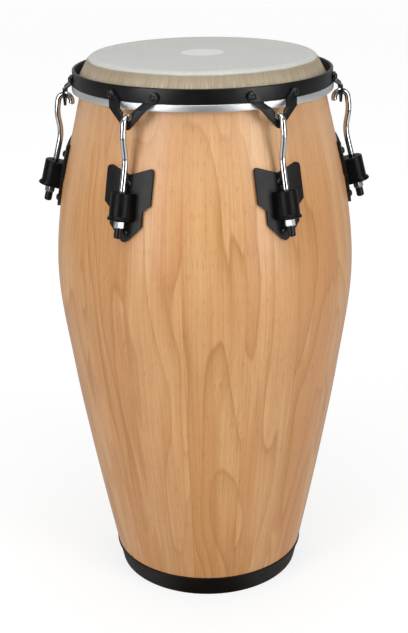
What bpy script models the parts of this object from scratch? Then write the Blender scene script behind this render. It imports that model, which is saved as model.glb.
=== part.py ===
"""Tumba, the widest drum of a set of congas, as an assembly of separate pieces.

Metres, +Z up. The origin is on the floor, at the centre of the foot ring. The lugs stand round the
shell at equal angles, the first one on +X. Hardware near the head is placed by its drop below the
top of the head, so that it stays with the head when the drum's height changes.
"""
import math
from bisect import bisect_right

import bmesh
import bpy
from mathutils import Matrix, Vector

# Whole drum
HEIGHT = 0.766
LUG_COUNT = 6
ROUND_STEPS = 48
GAP = 0.0003
MERGE = 0.00002

# Shell: outer radius at seven places, from the floor up or from the top of the head down
SHELL_WALL = 0.011
FOOT_RADIUS = 0.133
CALF_HEIGHT = 0.180
CALF_RADIUS = 0.1682
WAIST_HEIGHT = 0.330
WAIST_RADIUS = 0.1928
BELLY_HEIGHT = 0.480
BELLY_RADIUS = 0.2083
SHOULDER_DROP = 0.186
SHOULDER_RADIUS = 0.1979
COLLAR_DROP = 0.086
COLLAR_RADIUS = 0.1751
NECK_DROP = 0.025
NECK_RADIUS = 0.1604
EDGE_LEAN = 0.0048
EDGE_ROUND = 0.011

# Foot ring
RING_HEIGHT = 0.0319
RING_WALL = 0.0035
RING_FLOOR = 0.005
RING_LIP = 0.0012
RING_LIP_HEIGHT = 0.002

# Drumhead, flesh hoop and rim
SKIN = 0.0016
SKIN_TUCK = 0.0065
HOOP_CLEARANCE = 0.0012
HOOP_INNER_WALL = 0.0024
HOOP_OUTER_WALL = 0.0056
HOOP_HEIGHT = 0.0096
RIM_INSET = 0.0006
RIM_WALL = 0.0038
RIM_HEIGHT = 0.0192
RIM_DROP = 0.0175
RIM_ROUND = 0.0012
COLLAR_LEAN = 0.0022

# V-straps
STRAP_THICKNESS = 0.003
STRAP_SPREAD = 0.0313
EAR_RADIUS = 0.0065
EAR_LIFT = 0.0012
JOG_DEPTH = 0.0104
JOG_HEIGHT = 0.0085
LEG_WIDTH = 0.0115
VERTEX_RADIUS = 0.0055
VERTEX_DROP = 0.0695
KEY_RADIUS = 0.0072
KEY_DROP = 0.0513
KEY_BEVEL = 0.001

# Rivets that hold the straps' ears on the rim
RIVET_RADIUS = 0.0025
RIVET_HEAD_RADIUS = 0.0045
RIVET_HEAD_HEIGHT = 0.0024
RIVET_CLEARANCE = 0.0005

# Tuning hooks: the rod is straight below the knee, bends out to the elbow, then over the strap
ROD_RADIUS = 0.004
CROOK_RADIUS = 0.00925
CROOK_SEAT = 0.0005
CROOK_TURN = 195.0
ELBOW_DROP = 0.079
ELBOW_OUT = 0.0116
KNEE_DROP = 0.106
KNEE_OUT = 0.00705
BEND_RADIUS = 0.025

# Lug housings
SEAT_DROP = 0.1797
ROD_STANDOFF = 0.0173
HOUSING_RADIUS = 0.014
HOUSING_HEIGHT = 0.0357
HOUSING_LIP = 0.003
HOUSING_LIP_HEIGHT = 0.005
HOUSING_BORE = 0.005

# Side plates with their bonded rubber, and backing plates, as heights above the housing's seat
PLATE_THICKNESS = 0.0045
WING_WIDTH = 0.067
WING_TOP = 0.0642
WING_NOTCH = 0.0532
WING_BOTTOM = 0.0177
BODY_WIDTH = 0.046
BODY_TOP = 0.0097
BODY_BOTTOM = -0.0093
BODY_TIP = -0.0333
BACKING_THICKNESS = 0.002
BACKING_WIDTH = 0.026
BACKING_MARGIN = 0.010

# Plate bolts and the weld nuts of the backing plates
UPPER_BOLT = 0.0422
LOWER_BOLT = -0.0187
BOLT_RADIUS = 0.003
BOLT_HEAD_RADIUS = 0.0045
BOLT_HEAD_HEIGHT = 0.0025
BOLT_CLEARANCE = 0.0005
BOLT_TAIL = 0.0015
WELD_NUT_WIDTH = 0.010
WELD_NUT_HEIGHT = 0.005

# Tuning nuts and caps
NUT_WIDTH = 0.013
NUT_HEIGHT = 0.009
NUT_CLEARANCE = 0.0005
CAP_WALL = 0.00075
CAP_LENGTH = 0.013
CAP_END = 0.0015
THREAD_TAIL = 0.010

# Numbers of sides on small round pieces
SMALL_SIDES = 8
BORE_SIDES = 12
CUTTER_STEPS = 120
# How deep a piece that is joined to another reaches into it, and how far a cutter stands out
OVERLAP = 0.0003
REACH = 0.01

UP = Vector((0.0, 0.0, 1.0))


def clear_scene():
    for old in list(bpy.data.objects):
        bpy.data.objects.remove(old)


# Materials

def finish(name, colour, roughness, metallic=0.0):
    """A Principled material; the colour is given as display values from 0 to 255."""
    material = bpy.data.materials.new(name)
    material.use_nodes = True
    shader = material.node_tree.nodes["Principled BSDF"]
    linear = [((value / 255.0 + 0.055) / 1.055) ** 2.4 for value in colour]
    shader.inputs["Base Color"].default_value = (*linear, 1.0)
    shader.inputs["Roughness"].default_value = roughness
    shader.inputs["Metallic"].default_value = metallic
    material.diffuse_color = (*linear, 1.0)
    return material


# Objects

def add_empty(name, matrix, parent=None):
    empty = bpy.data.objects.new(name, None)
    bpy.context.collection.objects.link(empty)
    empty.parent = parent
    empty.matrix_local = matrix
    empty.empty_display_size = 0.02
    return empty


def add_object(name, data, material, parent=None):
    piece = bpy.data.objects.new(name, data)
    bpy.context.collection.objects.link(piece)
    piece.parent = parent
    if material is not None:
        data.materials.append(material)
    return piece


def mesh_from(name, shape, sharp_angle=35.0):
    """The finished bmesh as a mesh whose faces point out, smooth across its gentle edges."""
    bmesh.ops.recalc_face_normals(shape, faces=shape.faces[:])
    if shape.calc_volume(signed=True) < 0:
        bmesh.ops.reverse_faces(shape, faces=shape.faces[:])
    mesh = bpy.data.meshes.new(name)
    shape.to_mesh(mesh)
    shape.free()
    mesh.shade_smooth()
    mesh.set_sharp_from_angle(angle=math.radians(sharp_angle))
    return mesh


def gather(shape, places):
    """Copies of one bmesh, one for each place, as separate bodies in a single bmesh."""
    single = bpy.data.meshes.new("single")
    shape.to_mesh(single)
    shape.free()
    group = bmesh.new()
    for place in places:
        before = len(group.verts)
        group.from_mesh(single)
        group.verts.ensure_lookup_table()
        bmesh.ops.transform(group, matrix=place, verts=group.verts[before:])
    bpy.data.meshes.remove(single)
    return group


def cutter(name, mesh):
    tool = add_object(name, mesh, None)
    tool.hide_render = True
    tool.display_type = "WIRE"
    return tool


def combine(piece, operation, tool):
    boolean = piece.modifiers.new(tool.name, "BOOLEAN")
    boolean.operation = operation
    boolean.object = tool


def worked(mesh, joins=(), cuts=()):
    """The mesh joined to some meshes, then cut by others, all in one frame, as a new mesh."""
    blank = add_object(mesh.name, mesh, None)
    steps = [("UNION", tool) for tool in joins] + [("DIFFERENCE", tool) for tool in cuts]
    tools = []
    for operation, tool_mesh in steps:
        tools.append(add_object(tool_mesh.name, tool_mesh, None))
        combine(blank, operation, tools[-1])
    graph = bpy.context.evaluated_depsgraph_get()
    result = bpy.data.meshes.new_from_object(blank.evaluated_get(graph))
    for used in [blank] + tools:
        bpy.data.objects.remove(used)
    return result


# Shapes

def arc(centre, radius, start, end, count):
    """Points on an arc, both ends included; angles in degrees."""
    points = []
    for index in range(count):
        angle = math.radians(start + (end - start) * index / (count - 1))
        points.append((centre[0] + radius * math.cos(angle), centre[1] + radius * math.sin(angle)))
    return points


def rounded(corners, steps=2, closed=True):
    """An outline through (x, y, radius) corners, each one rounded by an arc of its radius."""
    points = []
    for index, (x, y, radius) in enumerate(corners):
        at_end = not closed and index in (0, len(corners) - 1)
        if radius == 0 or at_end:
            points.append((x, y))
            continue
        here = Vector((x, y))
        back = (Vector(corners[index - 1][:2]) - here).normalized()
        ahead = (Vector(corners[(index + 1) % len(corners)][:2]) - here).normalized()
        half = back.angle(ahead) / 2
        middle = here + (back + ahead).normalized() * radius / math.sin(half)
        leave = (here + back * radius / math.tan(half) - middle).normalized()
        arrive = (here + ahead * radius / math.tan(half) - middle).normalized()
        for step in range(steps + 1):
            points.append(tuple(middle + leave.slerp(arrive, step / steps) * radius))
    return points


def mirrored(half):
    """A closed outline from its right half, whose first and last points lie on x = 0."""
    return half + [(-x, y) for x, y in reversed(half[1:-1])]


def spun(profile, steps, closed=True):
    """A (radius, height) profile swept round +Z; an open profile's two ends get flat caps."""
    shape = bmesh.new()
    verts = [shape.verts.new((radius, 0.0, height)) for radius, height in profile]
    edges = [shape.edges.new(pair) for pair in zip(verts, verts[1:])]
    if closed:
        edges.append(shape.edges.new((verts[-1], verts[0])))
    bmesh.ops.spin(shape, geom=verts + edges, axis=UP, cent=(0, 0, 0), angle=math.tau, steps=steps,
                   use_merge=True)
    bmesh.ops.remove_doubles(shape, verts=shape.verts[:], dist=MERGE)
    if not closed:
        rims = [edge for edge in shape.edges if edge.is_boundary]
        bmesh.ops.holes_fill(shape, edges=rims, sides=0)
    return shape


def slab(outline, thickness, columns=(), rows=()):
    """A flat outline in (x, z), cut along columns and rows so that it can bend, thickened to +Y."""
    shape = bmesh.new()
    shape.faces.new([shape.verts.new((x, 0.0, z)) for x, z in outline])
    cuts = [((1, 0, 0), (x, 0, 0)) for x in columns] + [((0, 0, 1), (0, 0, z)) for z in rows]
    for normal, point in cuts:
        everything = shape.verts[:] + shape.edges[:] + shape.faces[:]
        bmesh.ops.bisect_plane(shape, geom=everything, dist=MERGE, plane_co=point, plane_no=normal)
    grown = bmesh.ops.extrude_face_region(shape, geom=shape.faces[:], use_keep_orig=True)
    front = [item for item in grown["geom"] if isinstance(item, bmesh.types.BMVert)]
    bmesh.ops.translate(shape, verts=front, vec=(0, thickness, 0))
    return shape


def bend(shape, place):
    """Carries every vertex, read as (lateral, depth, height), to its place in the lug's frame."""
    for vert in shape.verts:
        vert.co = place(*vert.co)
    return shape


def lofted(rings):
    """A closed solid through rings of equally many points, with flat ends."""
    shape = bmesh.new()
    loops = [[shape.verts.new(point) for point in ring] for ring in rings]
    for lower, upper in zip(loops, loops[1:]):
        for index in range(len(lower)):
            shape.faces.new((lower[index - 1], lower[index], upper[index], upper[index - 1]))
    shape.faces.new(loops[0])
    shape.faces.new(loops[-1])
    return shape


def hexagonal_prism(width, low, high):
    corners = arc((0, 0), width / math.sqrt(3), 0, 300, 6)
    return lofted([[(x, y, height) for x, y in corners] for height in (low, high)])


def button_screw(head_radius, head_height, shank_radius, length, sunk=0.0):
    """A round-headed fastener along +Z: its head stands on z = 0, its shank reaches to -length."""
    crown = 0.55 * head_radius
    shoulder = 0.4 * head_height
    profile = [(crown, head_height), (head_radius, shoulder), (head_radius, -sunk),
               (shank_radius, -sunk), (shank_radius, -length)]
    return spun(profile, SMALL_SIDES, closed=False)


def drill(radius, low, high):
    return spun([(radius, high), (radius, low)], SMALL_SIDES, closed=False)


# The shell's profile

def shell_stations():
    return [(0.0, FOOT_RADIUS), (CALF_HEIGHT, CALF_RADIUS), (WAIST_HEIGHT, WAIST_RADIUS),
            (BELLY_HEIGHT, BELLY_RADIUS), (HEIGHT - SHOULDER_DROP, SHOULDER_RADIUS),
            (HEIGHT - COLLAR_DROP, COLLAR_RADIUS), (HEIGHT - NECK_DROP, NECK_RADIUS)]


def shell_radius(height):
    """Outer radius of the shell: a smooth cubic through the stations, sloped by its neighbours."""
    heights, radii = zip(*shell_stations())
    spans = [b - a for a, b in zip(heights, heights[1:])]
    rises = [(b - a) / span for a, b, span in zip(radii, radii[1:], spans)]
    slopes = [(after * before_rise + before * after_rise) / (before + after)
              for before, after, before_rise, after_rise
              in zip(spans, spans[1:], rises, rises[1:])]
    slopes = [2 * rises[0] - slopes[0]] + slopes + [2 * rises[-1] - slopes[-1]]
    index = min(max(bisect_right(heights, height) - 1, 0), len(spans) - 1)
    span = spans[index]
    t = (height - heights[index]) / span
    return ((2 * t ** 3 - 3 * t ** 2 + 1) * radii[index]
            + (t ** 3 - 2 * t ** 2 + t) * span * slopes[index]
            + (3 * t ** 2 - 2 * t ** 3) * radii[index + 1]
            + (t ** 3 - t ** 2) * span * slopes[index + 1])


def shell_tilt(height):
    """How far the shell's outward normal points up, in radians."""
    step = 0.001
    return -math.atan((shell_radius(height + step) - shell_radius(height - step)) / (2 * step))


def spread(low, high, count):
    """Equal steps from low to high, both ends included."""
    return [low + (high - low) * index / (count - 1) for index in range(count)]


# Sizes that follow from the driving ones

EDGE_CENTRE = (NECK_RADIUS - EDGE_LEAN - EDGE_ROUND, HEIGHT - SKIN - GAP - EDGE_ROUND)
REBATE = RING_WALL + GAP
RIM_TOP = HEIGHT - RIM_DROP
RIM_BOTTOM = RIM_TOP - RIM_HEIGHT
HOOP_TOP = RIM_BOTTOM - GAP
HOOP_BOTTOM = HOOP_TOP - HOOP_HEIGHT
HOOP_INNER = shell_radius(HOOP_BOTTOM) + HOOP_CLEARANCE
GROOVE_INNER = HOOP_INNER + HOOP_INNER_WALL
GROOVE_OUTER = GROOVE_INNER + SKIN + 2 * GAP
HOOP_OUTER = GROOVE_OUTER + HOOP_OUTER_WALL
RIM_INNER = GROOVE_OUTER + RIM_INSET
RIM_OUTER = RIM_INNER + RIM_WALL
SKIN_EDGE = GROOVE_OUTER - GAP

EAR_HEIGHT = RIM_BOTTOM + EAR_RADIUS + EAR_LIFT
JOG_TOP = EAR_HEIGHT - EAR_RADIUS + GAP
JOG_BOTTOM = JOG_TOP - JOG_HEIGHT
EAR_FACE = RIM_OUTER + GAP
LEG_FACE = EAR_FACE + JOG_DEPTH
LEG_MIDDLE = LEG_FACE + STRAP_THICKNESS / 2
KEY_HEIGHT = HEIGHT - KEY_DROP
VERTEX_HEIGHT = HEIGHT - VERTEX_DROP + VERTEX_RADIUS

SEAT_HEIGHT = HEIGHT - SEAT_DROP
SEAT_RADIUS = shell_radius(SEAT_HEIGHT) + ROD_STANDOFF
KNEE_HEIGHT = HEIGHT - KNEE_DROP
KNEE_RADIUS = LEG_MIDDLE + KNEE_OUT
ROD_LEAN = math.atan2(SEAT_RADIUS - KNEE_RADIUS, KNEE_HEIGHT - SEAT_HEIGHT)

PLATE_OUTSIDE = GAP + PLATE_THICKNESS
# The shell's flat facets stand inside its true round wall by this much
FACET_RISE = BELLY_RADIUS * (1 - math.cos(math.pi / ROUND_STEPS))
BACKING_FACE = -(SHELL_WALL + FACET_RISE + GAP)
BACKING_INSIDE = BACKING_FACE - BACKING_THICKNESS

NUT_BOTTOM = -(GAP + NUT_HEIGHT)
NUT_BORE = ROD_RADIUS + NUT_CLEARANCE
CAP_TOP = NUT_BOTTOM - GAP

ROD_FRAME = (Matrix.Translation((SEAT_RADIUS, 0.0, SEAT_HEIGHT))
             @ Matrix.Rotation(-ROD_LEAN, 4, "Y"))
LUG_FRAMES = [Matrix.Rotation(math.tau * index / LUG_COUNT, 4, "Z") for index in range(LUG_COUNT)]


def on_shell(standoff):
    """Places (lateral, depth, height) on the shell's surface, raised by the standoff."""
    def place(lateral, depth, height):
        angle = lateral / shell_radius(height)
        radius = shell_radius(height) + standoff + depth
        return Vector((radius * math.cos(angle), radius * math.sin(angle), height))
    return place


def on_strap(lateral, depth, height):
    """Places (lateral, depth, height) on the strap: against the rim, then out over the jog."""
    fall = min(max((JOG_TOP - height) / JOG_HEIGHT, 0.0), 1.0)
    face = EAR_FACE + JOG_DEPTH * fall
    angle = lateral / face
    radius = face + depth
    return Vector((radius * math.cos(angle), radius * math.sin(angle), height))


# The drum's body

def shell_mesh():
    """Barrel with an even wall, a rounded bearing edge and a rebate for the foot ring."""
    neck = HEIGHT - NECK_DROP
    bearing = arc(EDGE_CENTRE, EDGE_ROUND, 90, 19, 4)
    seat = SEAT_HEIGHT + BODY_TIP
    wings = SEAT_HEIGHT + WING_TOP
    heights = (spread(neck, wings, 4)[:-1] + spread(wings, seat, 5)[:-1]
               + spread(seat, BELLY_HEIGHT, 3)[:-1] + spread(BELLY_HEIGHT, RING_HEIGHT + GAP, 7))
    outside = [(shell_radius(height), height) for height in heights]
    foot = RING_FLOOR + GAP
    rebate = [(shell_radius(height) - REBATE, height) for height in (RING_HEIGHT + GAP, foot)]
    inner_heights = (spread(foot, BELLY_HEIGHT, 4)[:-1] + spread(BELLY_HEIGHT, seat, 3)[:-1]
                     + spread(seat, wings, 5)[:-1] + [wings, neck])
    inside = [(shell_radius(height) - SHELL_WALL, height) for height in inner_heights]
    crest = [(EDGE_CENTRE[0] - 0.001, EDGE_CENTRE[1] + 0.8 * EDGE_ROUND)]
    return mesh_from("shell", spun(bearing + outside + rebate + inside + crest, ROUND_STEPS))


def foot_ring_mesh():
    lip_bottom = RING_HEIGHT - RING_LIP_HEIGHT
    outside = [(shell_radius(RING_HEIGHT) + RING_LIP, RING_HEIGHT),
               (shell_radius(lip_bottom) + RING_LIP, lip_bottom),
               (shell_radius(lip_bottom), lip_bottom), (shell_radius(0.0), 0.0)]
    floor = [(shell_radius(0.0) - SHELL_WALL, 0.0),
             (shell_radius(RING_FLOOR) - SHELL_WALL, RING_FLOOR)]
    inside = [(shell_radius(RING_FLOOR) - RING_WALL, RING_FLOOR),
              (shell_radius(RING_HEIGHT) - RING_WALL, RING_HEIGHT)]
    return mesh_from("foot_ring", spun(outside + floor + inside, ROUND_STEPS))


# The head, its hoop and its rim

def tangent_angle(centre, radius, point):
    """Angle, in degrees, of the tangent point on a circle's upper side seen from a point."""
    across = Vector(point) - Vector(centre)
    return math.degrees(math.atan2(across.y, across.x) + math.acos(radius / across.length))


def drumhead_mesh():
    """Flat skin, rounded over the bearing edge, then straight down its collar into the hoop."""
    outer_round = EDGE_ROUND + GAP + SKIN
    brow = (SKIN_EDGE - COLLAR_LEAN, RIM_BOTTOM + RIM_HEIGHT * 0.3)
    under_brow = (brow[0] - SKIN, brow[1])
    tuck = HOOP_TOP - SKIN_TUCK
    start = tangent_angle(EDGE_CENTRE, outer_round, brow)
    under_start = tangent_angle(EDGE_CENTRE, outer_round - SKIN, under_brow)
    outside = arc(EDGE_CENTRE, outer_round, 90, start, 5)
    inside = arc(EDGE_CENTRE, outer_round - SKIN, under_start, 90, 5)
    edge = [brow, (SKIN_EDGE, HOOP_TOP), (SKIN_EDGE, tuck), (SKIN_EDGE - SKIN, tuck),
            (SKIN_EDGE - SKIN, HOOP_TOP), under_brow]
    return mesh_from("drumhead", spun(outside + edge + inside, ROUND_STEPS, closed=False), 50)


def flesh_hoop_mesh():
    """Ring with a groove in its top that holds the edge of the skin."""
    groove_floor = HOOP_TOP - SKIN_TUCK - GAP
    profile = [(HOOP_OUTER, HOOP_TOP), (HOOP_OUTER, HOOP_BOTTOM), (HOOP_INNER, HOOP_BOTTOM),
               (HOOP_INNER, HOOP_TOP), (GROOVE_INNER, HOOP_TOP), (GROOVE_INNER, groove_floor),
               (GROOVE_OUTER, groove_floor), (GROOVE_OUTER, HOOP_TOP)]
    return mesh_from("flesh_hoop", spun(profile, ROUND_STEPS))


def rim_mesh():
    """Flat hoop on edge, with its upper edge rounded."""
    corners = [(RIM_OUTER, RIM_TOP, RIM_ROUND), (RIM_OUTER, RIM_BOTTOM, 0),
               (RIM_INNER, RIM_BOTTOM, 0), (RIM_INNER, RIM_TOP, RIM_ROUND)]
    return mesh_from("rim", spun(rounded(corners, 1), ROUND_STEPS))


# The V-straps

def strap_outline():
    """Two round ears, two straight legs and the round keyhole where the legs meet."""
    ear = Vector((STRAP_SPREAD, EAR_HEIGHT))
    vertex = Vector((0.0, VERTEX_HEIGHT))
    down = (vertex - ear).normalized()
    inward = Vector((-abs(down.y), abs(down.x)))
    heading = math.degrees(math.atan2(-inward.y, -inward.x))
    # The outer edge of a leg touches the ear's circle and the smaller circle of the vertex
    flare = math.degrees(math.asin((EAR_RADIUS - VERTEX_RADIUS) / (vertex - ear).length))
    inner = LEG_WIDTH - (EAR_RADIUS + VERTEX_RADIUS) / 2
    along = math.sqrt(max(EAR_RADIUS ** 2 - inner ** 2, 0.0))
    meets = inward * inner + down * along
    ear_end = math.degrees(math.atan2(meets.y, meets.x))
    # The inner edge of the leg runs down until it meets the keyhole's circle
    key = Vector((0.0, KEY_HEIGHT))
    start = ear + inward * inner - key
    back = start.dot(down)
    reach = -back - math.sqrt(back ** 2 - start.length_squared + KEY_RADIUS ** 2)
    meets = start + down * reach
    key_start = math.degrees(math.atan2(meets.y, meets.x))
    half = arc(vertex, VERTEX_RADIUS, -90, heading - flare, 3)
    half += arc(ear, EAR_RADIUS, heading - flare, ear_end, 7)
    half += arc(key, KEY_RADIUS, key_start, -90, 5)
    return mirrored(half)


def bevel_keyhole(shape):
    """Takes the sharp edge off the lower half of the keyhole, where the hook bears."""
    def on_arc(vert):
        from_key = math.hypot(vert.co.x, vert.co.z - KEY_HEIGHT)
        return abs(from_key - KEY_RADIUS) < MERGE and vert.co.z < KEY_HEIGHT + MERGE
    bearing = [edge for edge in shape.edges if all(on_arc(vert) for vert in edge.verts)
               and abs(edge.verts[0].co.y - edge.verts[1].co.y) < MERGE]
    bmesh.ops.bevel(shape, geom=bearing, offset=KEY_BEVEL, offset_type="OFFSET", segments=1,
                    profile=0.5, affect="EDGES")


def rivet_places(lug):
    """Frames with +Z out through a strap's two ears, standing on the strap's outer face."""
    face = EAR_FACE + STRAP_THICKNESS
    out = Matrix.Translation((face, 0, EAR_HEIGHT)) @ Matrix.Rotation(math.pi / 2, 4, "Y")
    turns = [Matrix.Rotation(side * STRAP_SPREAD / EAR_FACE, 4, "Z") for side in (-1, 1)]
    return [lug @ turn @ out for turn in turns]


def strap_mesh():
    """The strap with its two rivets set, which makes them one piece."""
    columns = (-STRAP_SPREAD, -STRAP_SPREAD / 2, STRAP_SPREAD / 2, STRAP_SPREAD)
    shape = slab(strap_outline(), STRAP_THICKNESS, columns, (JOG_TOP, JOG_BOTTOM))
    bevel_keyhole(shape)
    strap = mesh_from("rim_strap", bend(shape, on_strap))
    rivet = button_screw(RIVET_HEAD_RADIUS, RIVET_HEAD_HEIGHT, RIVET_RADIUS,
                         STRAP_THICKNESS + GAP + RIM_WALL, sunk=OVERLAP)
    rivets = mesh_from("rivets", gather(rivet, rivet_places(Matrix())))
    return worked(strap, joins=(rivets,))


# The lugs

def bolt_places(lug):
    """Frames with +Z out through the shell, square to it, standing on the side plate's face."""
    places = []
    for level in (UPPER_BOLT, LOWER_BOLT):
        height = SEAT_HEIGHT + level
        tilt = shell_tilt(height)
        surface = Matrix.Translation((shell_radius(height), 0, height))
        out = Matrix.Rotation(math.pi / 2 - tilt, 4, "Y")
        stand = Matrix.Translation((0, 0, PLATE_OUTSIDE * math.cos(tilt) + GAP))
        places.append(lug @ surface @ out @ stand)
    return places


def bolt_holes(name, lugs):
    reach = PLATE_OUTSIDE - BACKING_INSIDE + REACH
    hole = drill(BOLT_RADIUS + BOLT_CLEARANCE, -reach, REACH)
    return mesh_from(name, gather(hole, [place for lug in lugs for place in bolt_places(lug)]))


def side_plate_mesh():
    """Butterfly plate bent to the shell: notched wings, a narrower body and a blunt tip."""
    wing = WING_WIDTH / 2
    body = BODY_WIDTH / 2
    corners = [(0, WING_NOTCH, 0), (wing, WING_TOP, 0.004), (wing, WING_BOTTOM, 0.002),
               (body, BODY_TOP, 0.002), (body, BODY_BOTTOM, 0.003), (0, BODY_TIP, 0.006)]
    corners += [(-x, height, radius) for x, height, radius in corners[-2:0:-1]]
    outline = [(x, SEAT_HEIGHT + height) for x, height in rounded(corners)]
    columns = (-WING_WIDTH / 4, 0.0, WING_WIDTH / 4)
    rows = [SEAT_HEIGHT + level for level in (BODY_BOTTOM, WING_BOTTOM)]
    rows.append((SEAT_HEIGHT + WING_BOTTOM + SEAT_HEIGHT + WING_NOTCH) / 2)
    blank = mesh_from("side_plate", bend(slab(outline, PLATE_THICKNESS, columns, rows),
                                         on_shell(GAP)))
    return worked(blank, cuts=(bolt_holes("plate_holes", [Matrix()]),))


def backing_plate_mesh():
    """Steel strip on the inside wall with a weld nut behind each bolt."""
    half = BACKING_WIDTH / 2
    top = SEAT_HEIGHT + UPPER_BOLT + BACKING_MARGIN
    bottom = SEAT_HEIGHT + LOWER_BOLT - BACKING_MARGIN
    outline = [(half, top), (half, bottom), (-half, bottom), (-half, top)]
    strip = slab(outline, BACKING_THICKNESS, (0.0,), spread(bottom, top, 4)[1:-1])
    blank = mesh_from("backing_plate", bend(strip, on_shell(BACKING_INSIDE)))
    nut = hexagonal_prism(WELD_NUT_WIDTH, -weld_nut_end(), OVERLAP - weld_nut_face())
    nuts = mesh_from("weld_nuts", gather(nut, bolt_places(Matrix())))
    return worked(blank, joins=(nuts,), cuts=(bolt_holes("backing_holes", [Matrix()]),))


def weld_nut_face():
    """Depth of the backing plate's inner face below the bolts' heads, at the bolts."""
    return (PLATE_OUTSIDE - BACKING_INSIDE) * math.cos(shell_tilt(SEAT_HEIGHT)) + GAP


def weld_nut_end():
    return weld_nut_face() + WELD_NUT_HEIGHT


def housing_mesh():
    """D-shaped block round the rod, its lower lip flared outwards, its back fitted to the plate."""
    def ring(height, lip):
        nose = [(x * (1 + lip / HOUSING_RADIUS), y, height)
                for x, y in arc((0, 0), HOUSING_RADIUS, -90, 90, 9)]
        back = -(ROD_STANDOFF + HOUSING_RADIUS / 2)
        return nose + [(back, HOUSING_RADIUS, height), (back, -HOUSING_RADIUS, height)]
    rings = [ring(0.0, HOUSING_LIP), ring(HOUSING_LIP_HEIGHT, 0.0), ring(HOUSING_HEIGHT, 0.0)]
    block = mesh_from("lug_housing", lofted(rings))
    bore = mesh_from("rod_bore", drill(HOUSING_BORE, -REACH, HOUSING_HEIGHT + REACH))
    plate_side = plate_side_mesh()
    plate_side.transform(ROD_FRAME.inverted())
    return worked(block, cuts=(plate_side, bore))


def plate_side_mesh():
    """All that lies inside the outer face of the side plates, as a turned solid."""
    low = SEAT_HEIGHT + BODY_TIP
    high = SEAT_HEIGHT + WING_TOP + HOUSING_HEIGHT
    heights = spread(high, low, 7)
    outside = [(shell_radius(height) + PLATE_OUTSIDE + GAP, height) for height in heights]
    core = FOOT_RADIUS
    profile = outside + [(core, low), (core, high)]
    return mesh_from("plate_side", spun(profile, CUTTER_STEPS))


# The moving parts of a lug

def hook_path():
    """Centre line of the rod in the lug's plane, as (radius, height), from the tip to the end."""
    inner = CROOK_RADIUS - ROD_RADIUS
    crook = Vector((LEG_MIDDLE, KEY_HEIGHT - KEY_RADIUS + CROOK_SEAT - inner))
    elbow = (LEG_MIDDLE + ELBOW_OUT, HEIGHT - ELBOW_DROP)
    leave = tangent_angle(crook, CROOK_RADIUS, elbow)
    over = arc(crook, CROOK_RADIUS, CROOK_TURN, leave, 8)
    end = ROD_FRAME @ Vector((0, 0, NUT_BOTTOM - THREAD_TAIL))
    corners = [(*over[-1], 0), (*elbow, BEND_RADIUS), (KNEE_RADIUS, KNEE_HEIGHT, BEND_RADIUS),
               (end.x, end.z, 0)]
    return over[:-1] + rounded(corners, 2, closed=False)


def hook_curve():
    """The rod as a bevelled curve in its own frame, whose +Z runs up the straight part."""
    curve = bpy.data.curves.new("tuning_hook", "CURVE")
    curve.dimensions = "3D"
    curve.bevel_depth = ROD_RADIUS
    curve.bevel_resolution = 2
    curve.use_fill_caps = True
    path = hook_path()
    to_rod = ROD_FRAME.inverted()
    spline = curve.splines.new("POLY")
    spline.points.add(len(path) - 1)
    for point, (radius, height) in zip(spline.points, path):
        point.co = (*(to_rod @ Vector((radius, 0.0, height))), 1.0)
        point.radius = 1.0
    spline.use_smooth = True
    return curve


def cap_mesh():
    """Thin cap, open at the top, closed below the end of the rod."""
    outer = NUT_BORE + CAP_WALL
    bottom = CAP_TOP - CAP_LENGTH
    profile = [(0.6 * outer, bottom), (outer, bottom + 0.4 * outer), (outer, CAP_TOP),
               (NUT_BORE, CAP_TOP), (NUT_BORE, bottom + CAP_END)]
    return mesh_from("nut_cap", spun(profile, BORE_SIDES, closed=False))


def nut_mesh():
    blank = mesh_from("tuning_nut", hexagonal_prism(NUT_WIDTH, NUT_BOTTOM, -GAP))
    bore = spun([(NUT_BORE, REACH), (NUT_BORE, NUT_BOTTOM - REACH)], BORE_SIDES, closed=False)
    return worked(blank, cuts=(mesh_from("nut_bore", bore),))


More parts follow.
